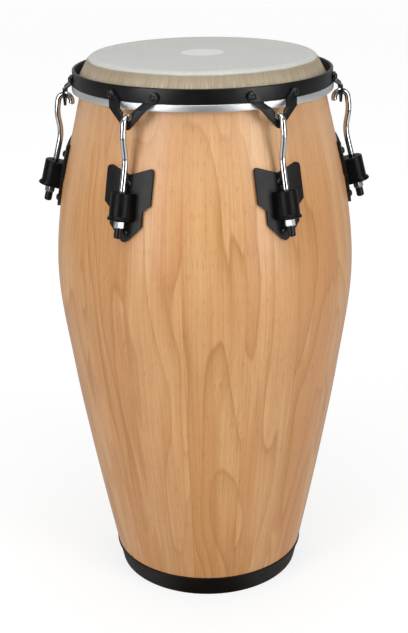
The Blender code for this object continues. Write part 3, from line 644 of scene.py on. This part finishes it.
def crease(angle, share):
    """Inward depth at an angle and a share of the collar: sines times a bell along the collar."""
    waves = sum(weight * np.sin(count * angle + shift) for count, shift, weight in CREASE_WAVES)
    return CREASE_DEPTH * (0.5 + 0.5 * waves) * np.sin(np.pi * np.clip(share, 0, 1)) ** 1.2


def drumhead_grid():
    outer = EDGE_ROUND + GAP + SKIN
    brow = np.array((SKIN_EDGE - 0.0022, RIM_BOTTOM + (RIM_TOP - RIM_BOTTOM) * 0.3))
    under = brow - (SKIN, 0)
    start = tangent_angle(EDGE_CENTRE, outer, brow)
    under_start = tangent_angle(EDGE_CENTRE, outer - SKIN, under)
    tuck = HOOP_TOP - SKIN_DEPTH
    top = np.stack([np.linspace(0, EDGE_CENTRE[0], 14)[:-1],
                    np.full(13, EDGE_CENTRE[1] + outer)], -1)
    over = arc(EDGE_CENTRE, outer, 90, start, 12)
    collar = over[-1] + np.linspace(0, 1, 14)[1:, None] * (brow - over[-1])
    edge = np.array([(SKIN_EDGE, HOOP_TOP), (SKIN_EDGE, tuck), (SKIN_EDGE - SKIN, tuck),
                     (SKIN_EDGE - SKIN, HOOP_TOP), tuple(under)])
    below = arc(EDGE_CENTRE, outer - SKIN, under_start, 90, 8)
    bottom = np.array([(0.0, EDGE_CENTRE[1] + outer - SKIN)])
    grid = turned(np.concatenate([top, over, collar, edge, below, bottom]), 600)
    # Creases only on the stretch from the round edge to the brow
    first = len(top) + 5
    last = len(top) + len(over) + len(collar)
    share = np.zeros(grid.shape[1])
    share[first:last] = np.linspace(0, 1, last - first)
    angle = np.linspace(0, 2 * np.pi, grid.shape[0], endpoint=False)[:, None]
    depth = crease(angle, share[None, :])
    grid[..., 0] -= depth * np.cos(angle)
    grid[..., 1] -= depth * np.sin(angle)
    return grid


head_mesh = grid_mesh("drumhead_surface", drumhead_grid(), close_v=False)
head = place_piece("drumhead_surface", head_mesh, [SKIN_FINISH], "head", "skin", "drumhead")
print("head:", len(head.data.polygons), "faces")

# %% [markdown]
# Two rings hold the skin. The bright flesh hoop grips its edge, and the black rim, a flat band on
# edge, presses the hoop down. Both are turned from outlines with small rounded corners.

# %% Flesh hoop and rim
def flesh_hoop_outline():
    """Closed outline with the groove that holds the skin."""
    inner = HOOP_OUTER - HOOP_WIDTH
    groove_inner = GROOVE_OUTER - SKIN - 2 * GAP
    floor = HOOP_TOP - GROOVE_DEPTH
    corners = [(HOOP_OUTER, HOOP_TOP, 0.0008), (HOOP_OUTER, HOOP_BOTTOM, 0.0018),
               (inner, HOOP_BOTTOM, 0.0006), (inner, HOOP_TOP, 0.0004),
               (groove_inner, HOOP_TOP, 0.0003), (groove_inner, floor, 0),
               (GROOVE_OUTER, floor, 0), (GROOVE_OUTER, HOOP_TOP, 0.0003)]
    return rounded(corners, 4)


def rim_outline():
    """Closed outline of a flat band whose upper edge is rounded over."""
    inner = RIM_OUTER - RIM_WALL
    corners = [(RIM_OUTER, RIM_TOP, 0.0016), (RIM_OUTER, RIM_BOTTOM, 0.0005),
               (inner, RIM_BOTTOM, 0.0004), (inner, RIM_TOP, 0.0016)]
    return rounded(corners, 5)


hoop_mesh = grid_mesh("flesh_hoop_surface", turned(flesh_hoop_outline(), ROUND_STEPS))
place_piece("flesh_hoop_surface", hoop_mesh, [ALUMINIUM], "head", "aluminium", "flesh_hoop")
rim_mesh = grid_mesh("rim_surface", turned(rim_outline(), ROUND_STEPS))
place_piece("rim_surface", rim_mesh, [POWDER], "head", "powder_coat", "rim")
print("hoop and rim")

# %% [markdown]
# Straps and side plates are flat stock with broken edges. Their solids have the right shape but
# knife edges, and no real edge is that sharp. A merged copy of the solid gets a narrow bevel on
# every hard edge, which catches the light as the painted edges of pressed steel do. Each plate
# lies on a rubber sheet, so what doesn't face outwards on it is rubber.

# %% Softened copies of solids
HARD_EDGE = math.radians(28)


def softened(node, width, segments=2):
    """A merged copy of the node's mesh with its hard edges bevelled by width."""
    shape = bmesh.new()
    shape.from_mesh(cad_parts[node].data)
    bmesh.ops.remove_doubles(shape, verts=shape.verts[:], dist=1e-5)
    bmesh.ops.dissolve_limit(shape, angle_limit=math.radians(0.6), verts=shape.verts[:],
                             edges=shape.edges[:])
    hard = [edge for edge in shape.edges
            if edge.is_manifold and edge.calc_face_angle(0.0) > HARD_EDGE]
    bmesh.ops.bevel(shape, geom=hard, offset=width, offset_type="OFFSET", segments=segments,
                    profile=0.6, affect="EDGES", clamp_overlap=True)
    bmesh.ops.triangulate(shape, faces=[face for face in shape.faces if len(face.verts) > 4])
    mesh = bpy.data.meshes.new(node + "_soft")
    shape.to_mesh(mesh)
    shape.free()
    return tidy_mesh(mesh, 30.0)


def copies_round(mesh, name, materials, slot, body, nodes, number):
    """The lug's mesh turned to lug number, as a piece on its body."""
    turned_mesh = mesh.copy()
    turned_mesh.transform(LUG_TURNS[number - 1])
    return place_piece(f"{name}_{number}", turned_mesh, materials, body, slot, *nodes)


OUTWARD = 0.93


def rubber_edge(mesh):
    """Material 1, rubber, on every face that doesn't look out: its normal's x is under OUTWARD."""
    normals = np.zeros(len(mesh.polygons) * 3, dtype=np.float32)
    mesh.polygons.foreach_get("normal", normals)
    aside = (normals[0::3] < OUTWARD).astype(np.int32)
    mesh.polygons.foreach_set("material_index", aside)
    return mesh


STRAP_BEVEL = 0.0006
PLATE_BEVEL = 0.0015
strap_mesh = softened("rim_strap_1", STRAP_BEVEL)
plate_mesh = rubber_edge(softened("side_plate_1", PLATE_BEVEL, 3))
for number in range(1, LUGS + 1):
    copies_round(strap_mesh, "strap", [POWDER], "powder_coat", "head", [f"rim_strap_{number}"],
                 number)
    copies_round(plate_mesh, "plate", [PLATE, RUBBER], "powder_coat", "drum",
                 [f"side_plate_{number}"], number)
print("straps and plates:", len(strap_mesh.polygons), len(plate_mesh.polygons), "faces each")

# %% [markdown]
# Each lug stands in its own frame. The rod leans in towards the head, so its frame has +Z up the
# rod, with the origin where the rod leaves the housing's lower face.

# %% The rod's frame
SEAT_HEIGHT = HEIGHT - 0.1797
SEAT_RADIUS = float(shell_radius(SEAT_HEIGHT)) + 0.0173
LEG_MIDDLE = RIM_OUTER + GAP + 0.0104 + 0.0015
KNEE = np.array((LEG_MIDDLE + 0.00705, HEIGHT - 0.106))
ELBOW = np.array((LEG_MIDDLE + 0.0116, HEIGHT - 0.079))
LEAN = math.atan2(SEAT_RADIUS - KNEE[0], KNEE[1] - SEAT_HEIGHT)
ROD_FRAME = Matrix.Translation((SEAT_RADIUS, 0, SEAT_HEIGHT)) @ Matrix.Rotation(-LEAN, 4, "Y")
NUT_HEIGHT = 0.009
ROD_RADIUS = 0.004
CAP_LENGTH = 0.013
ROD_IN_CAP = 0.010
print(f"rods lean {math.degrees(LEAN):.2f} degrees")

# %% [markdown]
# The tuning hook is one chromed rod: up through the housing, out round the knee and elbow, and
# over the strap. A circle is carried along the centre line; at each point the circle stands square
# to the line. The tip is rounded by shrinking the last circles.

# %% Tuning hooks
CROOK_RADIUS = 0.00925
BEND_RADIUS = 0.060
HOOK_SIDES = 24


def hook_line():
    """Centre line (radius, height): arc over the strap, then a line with two rounded bends."""
    seat = HEIGHT - 0.0513 - 0.0072 + 0.0005 - (CROOK_RADIUS - ROD_RADIUS)
    crook = np.array((LEG_MIDDLE, seat))
    over = arc(crook, CROOK_RADIUS, 195, tangent_angle(crook, CROOK_RADIUS, ELBOW), 26)
    end = ROD_FRAME @ Vector((0, 0, -GAP - NUT_HEIGHT - ROD_IN_CAP))
    corners = [(*over[-1], 0), (*ELBOW, BEND_RADIUS), (*KNEE, BEND_RADIUS), (end.x, end.z, 0)]
    return np.concatenate([over[:-1], rounded(corners, 16, closed=False)])


def tube_grid(line, radius, sides):
    """Circles square to a plane line: point = centre + r (cos a n + sin a y), with n the line's
    normal in its plane; the end circles shrink to a point over a dome."""
    line = np.asarray(line, float)
    way = np.gradient(line, axis=0)
    way /= np.linalg.norm(way, axis=1)[:, None]
    dome = np.radians(np.array((90.0, 60.0, 30.0)))
    tip_share, tip_out = np.cos(dome), np.sin(dome) * 0.55
    first = line[0] - way[0] * radius * tip_out[:, None]
    last = (line[-1] + way[-1] * radius * tip_out[:, None])[::-1]
    centres = np.concatenate([first, line, last])
    ways = np.concatenate([np.tile(way[0], (3, 1)), way, np.tile(way[-1], (3, 1))])
    radii = np.concatenate([tip_share, np.ones(len(line)), tip_share[::-1]]) * radius
    angle = np.linspace(0, 2 * np.pi, sides, endpoint=False)[None, :]
    normal_x, normal_z = ways[:, 1:2], -ways[:, 0:1]
    x = centres[:, 0:1] + radii[:, None] * np.cos(angle) * normal_x
    z = centres[:, 1:2] + radii[:, None] * np.cos(angle) * normal_z
    y = radii[:, None] * np.sin(angle) + 0 * x
    return np.stack([x, y, z], -1)


hook_mesh = grid_mesh("hook", tube_grid(hook_line(), ROD_RADIUS, HOOK_SIDES), close_u=False)
for number in range(1, LUGS + 1):
    copies_round(hook_mesh, "hook", [CHROME], "chrome", f"hook_{number}",
                 [f"tuning_hook_{number}"], number)
print("hooks:", len(hook_mesh.polygons), "faces each")

# %% [markdown]
# The lug housing is a block with a round nose that the rod passes through. In plan it is a D; its
# upper and lower edges are rounded, and a lip flares out round the bottom. The same angle that
# picks a point of the D picks the point of the round bore, so one closed grid holds both.

# %% Lug housings
NOSE_RADIUS = 0.014
HOUSING_HEIGHT = 0.0357
HOUSING_BORE = 0.005
HOUSING_BACK = -0.0140


def housing_plan():
    """The D, anticlockwise: half circle of the nose, then the flat sides and back."""
    nose = arc((0, 0), NOSE_RADIUS, -90, 90, 41)
    back = rounded([(0, NOSE_RADIUS, 0), (HOUSING_BACK, NOSE_RADIUS, 0.001),
                    (HOUSING_BACK, -NOSE_RADIUS, 0.001), (0, -NOSE_RADIUS, 0)], 3, closed=False)
    return np.concatenate([nose, back[1:-1]])


def housing_grid():
    """Rows up the outside, in over the top, down the bore and out under the bottom. Each outer
    row is the D drawn in by an inset; the lip adds to the nose alone."""
    plan = housing_plan()
    away = np.hypot(plan[:, 0], plan[:, 1])
    unit = plan / away[:, None]
    front = np.clip(plan[:, 0] / NOSE_RADIUS, 0, 1)
    tall = HOUSING_HEIGHT
    rows = [(0.0, 0.0012, 0.0026), (0.0004, 0.0004, 0.0030), (0.0014, 0.0, 0.0032),
            (0.0030, 0.0, 0.0026), (0.0048, 0.0002, 0.0010), (0.0060, 0.0002, 0.0002),
            (0.0075, 0.0, 0.0), (tall - 0.0016, 0.0, 0.0), (tall - 0.0008, 0.0003, 0.0),
            (tall - 0.0002, 0.0010, 0.0), (tall, 0.0018, 0.0)]
    shape = []
    for height, inset, lip in rows:
        ring = unit * (away - inset + lip * front)[:, None]
        shape.append(np.column_stack([ring, np.full(len(ring), height)]))
    for radius, height in ((HOUSING_BORE + 0.0006, tall), (HOUSING_BORE, tall - 0.0006),
                           (HOUSING_BORE, 0.0006), (HOUSING_BORE + 0.0006, 0.0)):
        ring = unit * radius
        shape.append(np.column_stack([ring, np.full(len(ring), height)]))
    return np.array(shape)


housing_mesh = grid_mesh("housing", housing_grid(), sharp=35.0)
housing_mesh.transform(ROD_FRAME)
for number in range(1, LUGS + 1):
    copies_round(housing_mesh, "housing", [CAST], "powder_coat", "drum",
                 [f"lug_housing_{number}"], number)
print("housings:", len(housing_mesh.polygons), "faces each")

# %% [markdown]
# The nut under each housing is a chromed hexagon with chamfered corners, and a black cap hides the
# end of the rod. The nut's grid has six equal sides; the chamfer is the smaller of the hexagon and
# a cone, row by row.

# %% Nuts and caps
NUT_WIDTH = 0.013
NUT_BORE = 0.0045


def nut_grid():
    """Rows round a hexagon limited by a circle, radius(a) = half width / cos(angle from the flat's
    middle); the end rows keep under a smaller circle, which makes the chamfer."""
    angle = np.linspace(0, 2 * np.pi, 72, endpoint=False)
    from_flat = (angle + np.pi / 6) % (np.pi / 3) - np.pi / 6
    hexagon = NUT_WIDTH / 2 / np.cos(from_flat)
    low, high = -GAP - NUT_HEIGHT, -GAP
    rows = [(low, 0.0061), (low + 0.0007, 0.0071), (low + 0.0013, 0.0080),
            (high - 0.0013, 0.0080), (high - 0.0007, 0.0071), (high, 0.0061)]
    shape = [np.column_stack([np.minimum(hexagon, limit) * np.cos(angle),
                              np.minimum(hexagon, limit) * np.sin(angle), np.full(72, height)])
             for height, limit in rows]
    for height in (high, low):
        shape.append(np.column_stack([NUT_BORE * np.cos(angle), NUT_BORE * np.sin(angle),
                                      np.full(72, height)]))
    return np.array(shape)


def cap_outline():
    """Open (radius, height) outline of a thin cup with a rounded end and a bead at its mouth."""
    top = -2 * GAP - NUT_HEIGHT
    end = top - CAP_LENGTH
    return np.concatenate([[(0, end)], arc((0.0030, end + 0.0022), 0.0022, -90, 0, 6),
                           [(0.00525, top - 0.0024), (0.0053, top - 0.0016), (0.0053, top),
                            (NUT_BORE, top), (NUT_BORE, end + 0.0015), (0, end + 0.0015)]])


nut_mesh = grid_mesh("nut", nut_grid(), sharp=25.0)
cap_mesh = grid_mesh("cap", turned(cap_outline(), 32), close_v=False)
for mesh in (nut_mesh, cap_mesh):
    mesh.transform(ROD_FRAME)
for number in range(1, LUGS + 1):
    copies_round(nut_mesh, "nut", [NUT_CHROME], "chrome", f"nut_{number}", [f"tuning_nut_{number}"],
                 number)
    copies_round(cap_mesh, "cap", [PLASTIC], "moulded_cap", f"nut_{number}",
                 [f"nut_cap_{number}"], number)
print("nuts and caps")

# %% [markdown]
# Button-head screws hold the straps to the rim and the plates to the shell. A head is a low dome
# with a hexagon socket. Both are one grid: rows run in over the dome, drop down the socket's wall
# and close in its floor; the last rows follow a hexagon in place of a circle.

# %% Button-head screws
BOLT_LEVELS = (0.0422, -0.0187)
PLATE_FACE = 0.0048
EAR_LEVEL = 0.0077
EAR_FACE = 0.003
EAR_ASIDE = 0.0313


def button_grid(radius, height, depth):
    """Rows of a screw head, base to socket: dome radius r cos t, height h sin t; socket rows are a
    hexagon of half the head's width."""
    angle = np.linspace(0, 2 * np.pi, 36, endpoint=False)
    from_flat = (angle + np.pi / 6) % (np.pi / 3) - np.pi / 6
    socket = 0.42 * radius / np.cos(from_flat)
    rows = [(np.full(36, radius * 0.96), -depth), (np.full(36, radius * 0.96), 0.0)]
    for turn in np.radians((6, 24, 42, 58)):
        rows.append((np.full(36, radius * math.cos(turn)), height * math.sin(turn) * 1.05))
    rows += [(socket * 1.06, height * 0.97), (socket, height * 0.90), (socket, height * 0.30),
             (socket * 0.02, height * 0.22)]
    return np.array([np.column_stack([size * np.cos(angle), size * np.sin(angle),
                                      np.full(36, level)]) for size, level in rows])


def bolt_frames():
    """The two bolts' places in the lug's frame: square to the shell, on the plate's face."""
    places = []
    for level in BOLT_LEVELS:
        z = SEAT_HEIGHT + level
        r = float(shell_radius(z))
        tilt = -math.atan((float(shell_radius(z + 0.001)) - float(shell_radius(z - 0.001))) / 0.002)
        out = Matrix.Rotation(math.pi / 2 - tilt, 4, "Y")
        places.append(Matrix.Translation((r, 0, z)) @ out
                      @ Matrix.Translation((0, 0, PLATE_FACE * math.cos(tilt) + GAP)))
    return places


def ear_frames():
    """The two rivets' places on a strap's ears."""
    face = RIM_OUTER + GAP
    place = Matrix.Translation((face + EAR_FACE, 0, RIM_BOTTOM + EAR_LEVEL))
    out = place @ Matrix.Rotation(math.pi / 2, 4, "Y")
    return [Matrix.Rotation(side * EAR_ASIDE / face, 4, "Z") @ out for side in (-1, 1)]


bolt_mesh = grid_mesh("bolt", button_grid(0.0047, 0.0027, 0.0002), close_u=False, sharp=32.0)
ear_mesh = grid_mesh("ear_screw", button_grid(0.0049, 0.0028, 0.0006), close_u=False, sharp=32.0)
for number in range(1, LUGS + 1):
    for level, place in zip(("upper", "lower"), bolt_frames()):
        mesh = bolt_mesh.copy()
        mesh.transform(place)
        copies_round(mesh, f"bolt_head_{level}", [OXIDE], "black_bolt", "drum", [], number)
    for side, place in zip(("right", "left"), ear_frames()):
        mesh = ear_mesh.copy()
        mesh.transform(place)
        copies_round(mesh, f"ear_screw_{side}", [OXIDE], "powder_coat", "head", [], number)
print("24 screw heads")

# %% [markdown]
# The pieces that stay as solids are hidden ones: the bolts' shanks and the backing plates with
# their nuts, which show only through the open foot. They get their finishes here.

# %% Finishes of the solids that stay
for name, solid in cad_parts.items():
    finish = ZINC if name.startswith("backing_plate") else OXIDE
    solid.data.materials.clear()
    solid.data.materials.append(finish)
print("solids dressed")

# %% [markdown]
# The studio is plain: a pale floor, a bright surround that the camera sees as near white, a large
# soft light on each side and one above. The surround gives less light than it shows, so that black
# paint stays black. Chrome mirrors what stands round it, so its look is made here: pale floor to
# the sides gives the bright streaks, and a dark wedge in front, which only mirrors see, gives the
# dark line down the middle of each rod.

# %% Studio
WHITE_SEEN = 0.975
FRONT_LIGHT = 0.05
BACK_LIGHT = 0.55
SIDE_GLOW = 0.20
FLOOR_HALF = 6.0


def seen_or_given(tree, seen, given):
    """One strength for rays from the camera, another for the light that reaches the drum."""
    camera_ray = add(tree, "ShaderNodeLightPath").outputs["Is Camera Ray"]
    return maths(tree, "MULTIPLY_ADD", camera_ray, maths(tree, "SUBTRACT", seen, given), given)


def studio_floor():
    """A white square; the angle from the front, arctan(|x| / -y), tells wedge from sides."""
    mesh = bpy.data.meshes.new("floor")
    half = FLOOR_HALF
    mesh.from_pydata([(-half, -half, 0), (half, -half, 0), (half, half, 0), (-half, half, 0)], [],
                     [(0, 1, 2, 3)])
    floor = bpy.data.objects.new("floor", mesh)
    bpy.context.scene.collection.objects.link(floor)
    material, tree, shader, place = start_material("pale_floor", Roughness=0.9)
    axes = add(tree, "ShaderNodeSeparateXYZ", {0: place}).outputs
    from_front = maths(tree, "ARCTAN2", maths(tree, "ABSOLUTE", axes[0]),
                       maths(tree, "MULTIPLY", axes[1], -1.0))
    aside = remap(tree, from_front, 0.25, 0.60)
    rays = add(tree, "ShaderNodeLightPath").outputs
    flagged = maths(tree, "MULTIPLY", rays["Is Glossy Ray"], maths(tree, "SUBTRACT", 1.0, aside))
    given = blend_colour(tree, flagged, (0.45, 0.45, 0.45, 1), (0.04, 0.04, 0.04, 1))
    paint = blend_colour(tree, rays["Is Camera Ray"], given, (0.22, 0.22, 0.22, 1))
    set_input(tree, shader, "Base Color", paint)
    shader.inputs["Emission Color"].default_value = (1, 1, 1, 1)
    distance = add(tree, "ShaderNodeVectorMath", {0: place}, operation="LENGTH").outputs["Value"]
    seen = remap(tree, distance, 0.2, 1.4, 0.79, 0.90)
    cards = maths(tree, "MULTIPLY", aside, SIDE_GLOW)
    set_input(tree, shader, "Emission Strength", seen_or_given(tree, seen, cards))
    mesh.materials.append(material)


def softbox(name, place, target, width, height, power):
    """A soft rectangle of light that looks from its place at the target; the camera misses it."""
    light = bpy.data.lights.new(name, "AREA")
    light.shape = "RECTANGLE"
    light.size = width
    light.size_y = height
    light.energy = power
    lamp = bpy.data.objects.new(name, light)
    bpy.context.scene.collection.objects.link(lamp)
    lamp.location = place
    lamp.rotation_euler = (Vector(target) - Vector(place)).to_track_quat("-Z", "Y").to_euler()
    lamp.visible_camera = False


def surround():
    """White behind the drum for the camera; for light and reflections dim in front (-Y)."""
    world = bpy.data.worlds.new("surround")
    bpy.context.scene.world = world
    world.use_nodes = True
    tree = world.node_tree
    back = tree.nodes["Background"]
    back.inputs["Color"].default_value = (1, 1, 1, 1)
    way = add(tree, "ShaderNodeTexCoord").outputs["Generated"]
    depth = add(tree, "ShaderNodeSeparateXYZ", {0: way}).outputs[1]
    given = remap(tree, depth, 0.0, 0.65, FRONT_LIGHT, BACK_LIGHT)
    tree.links.new(seen_or_given(tree, WHITE_SEEN, given), back.inputs["Strength"])


studio_floor()
surround()
softbox("left_box", (-1.75, -1.9, 1.3), (0, 0, 0.45), 1.1, 2.3, 42)
softbox("right_box", (1.85, -1.8, 1.2), (0, 0, 0.45), 1.0, 2.3, 40)
softbox("top_box", (0.0, -0.4, 2.8), (0, 0, 0.5), 1.8, 1.8, 31)
bpy.context.scene.view_settings.view_transform = "Standard"
print("studio lit")

# %% [markdown]
# The camera stands where the photograph was taken, solved from the ellipses of the head, rim and
# foot: above the head's height, looking down about twenty-one degrees, and turned a little.

# %% Camera
FRAME_HEIGHT = 633
FOCAL_PIXELS = 1225.0
PITCH = math.radians(20.902)
ROLL = math.radians(-0.771)
CENTRE_OFFSET = 1.84
EYE = (0, -1.6663, 1.0218)


def make_camera():
    data = bpy.data.cameras.new("camera")
    data.sensor_width = 36.0
    data.lens = FOCAL_PIXELS / FRAME_HEIGHT * data.sensor_width
    data.shift_x = -CENTRE_OFFSET / FRAME_HEIGHT
    camera = bpy.data.objects.new("camera", data)
    bpy.context.scene.collection.objects.link(camera)
    forward = Vector((0, math.cos(PITCH), -math.sin(PITCH)))
    right = Vector((1, 0, 0))
    up = right.cross(forward)
    right_turned = math.cos(ROLL) * right + math.sin(ROLL) * up
    up_turned = -math.sin(ROLL) * right + math.cos(ROLL) * up
    turn = Matrix((right_turned, up_turned, -forward)).transposed().to_4x4()
    camera.matrix_world = Matrix.Translation(EYE) @ turn
    bpy.context.scene.camera = camera


make_camera()
print("camera placed")
